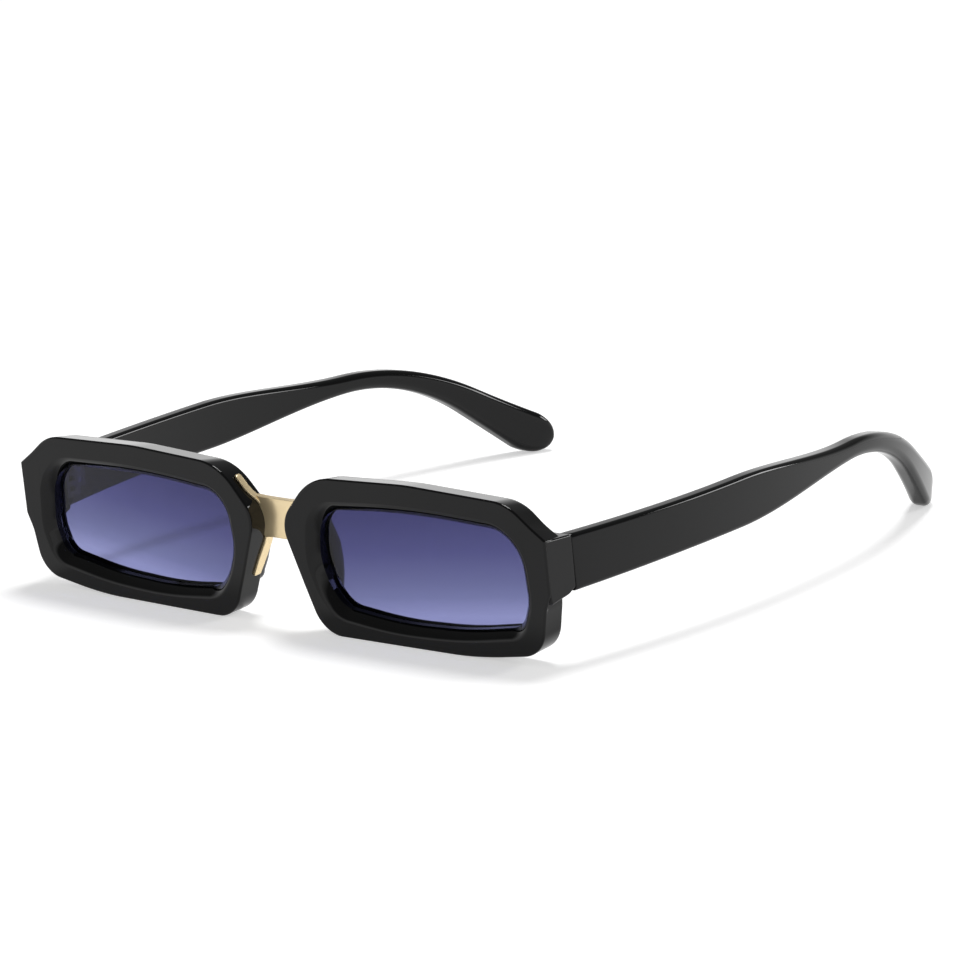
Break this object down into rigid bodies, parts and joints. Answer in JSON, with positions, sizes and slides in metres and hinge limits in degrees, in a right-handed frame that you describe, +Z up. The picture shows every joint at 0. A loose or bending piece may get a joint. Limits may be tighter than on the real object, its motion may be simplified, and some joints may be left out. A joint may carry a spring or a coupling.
{
  "type": "sunglasses",
  "caption": "Narrow sunglasses with deep glossy black rims, blue-violet tinted lenses, a flat gold metal bridge and temples that fold on knuckle hinges.",
  "frame": {"origin": "on the floor under the middle of the width and of the depth, with the temples open", "axes": "+X towards the wearer's left, +Y from the front back along the temples, +Z up"},
  "size_m": [0.15, 0.1587, 0.0342],
  "materials": {
    "acetate": "polished black",
    "tint": "blue-violet tint, darker at the top",
    "pad": "polished dark grey",
    "gold": "pale gold, polished",
    "steel": "bright steel"
  },
  "bodies": {
    "front": {"rim_left": "acetate", "rim_right": "acetate", "lens_left": "tint", "lens_right": "tint", "nose_pad_left": "pad", "nose_pad_right": "pad", "bridge": "gold", "bridge_pins_left": "steel", "bridge_pins_right": "steel", "hinge_front_leaf_left": "gold", "hinge_front_leaf_right": "gold", "hinge_screw_left": "steel", "hinge_screw_right": "steel"},
    "temple_left_arm": {"temple_left": "acetate", "temple_core_left": "steel", "hinge_temple_leaf_left": "gold", "temple_rivets_left": "steel"},
    "temple_right_arm": {"temple_right": "acetate", "temple_core_right": "steel", "hinge_temple_leaf_right": "gold", "temple_rivets_right": "steel"}
  },
  "joints": [
    {"name": "temple_left_fold", "type": "hinge", "parent": "front", "child": "temple_left_arm", "pos_m": [0.066, -0.06589, 0.02095], "axis": [0, -0.0845, 0.9964], "range_deg": [0, 87]},
    {"name": "temple_right_fold", "type": "hinge", "parent": "front", "child": "temple_right_arm", "pos_m": [-0.066, -0.06589, 0.02095], "axis": [0, 0.0845, -0.9964], "range_deg": [0, 78]}
  ]
}
